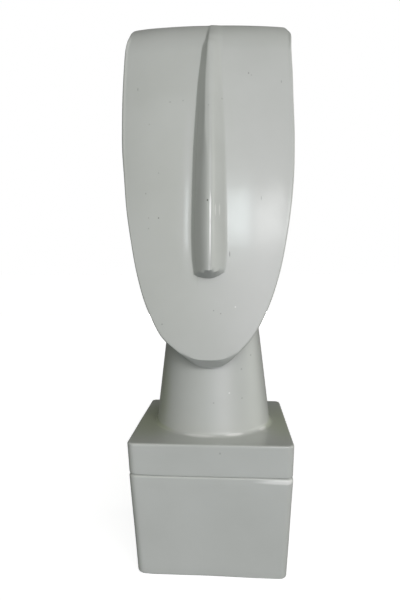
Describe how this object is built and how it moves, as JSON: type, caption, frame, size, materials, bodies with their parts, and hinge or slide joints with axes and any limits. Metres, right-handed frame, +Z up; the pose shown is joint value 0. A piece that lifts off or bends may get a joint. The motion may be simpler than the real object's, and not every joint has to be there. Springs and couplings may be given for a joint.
{
  "type": "abstract head sculpture",
  "caption": "Abstract head with a long wedge nose and no other features, leaning back on a round tapering neck over a square plinth, in pale grey glazed ceramic",
  "frame": {"origin": "centre of the plinth's underside, on the surface it stands on", "axes": "+Z up; the face looks along -Y; +X is to the right in the picture"},
  "size_m": [0.1968, 0.1744, 0.6222],
  "materials": {
    "glaze": "gloss"
  },
  "bodies": {
    "root": {"head_neck_and_cap": "glaze", "plinth_block": "glaze"}
  },
  "joints": []
}
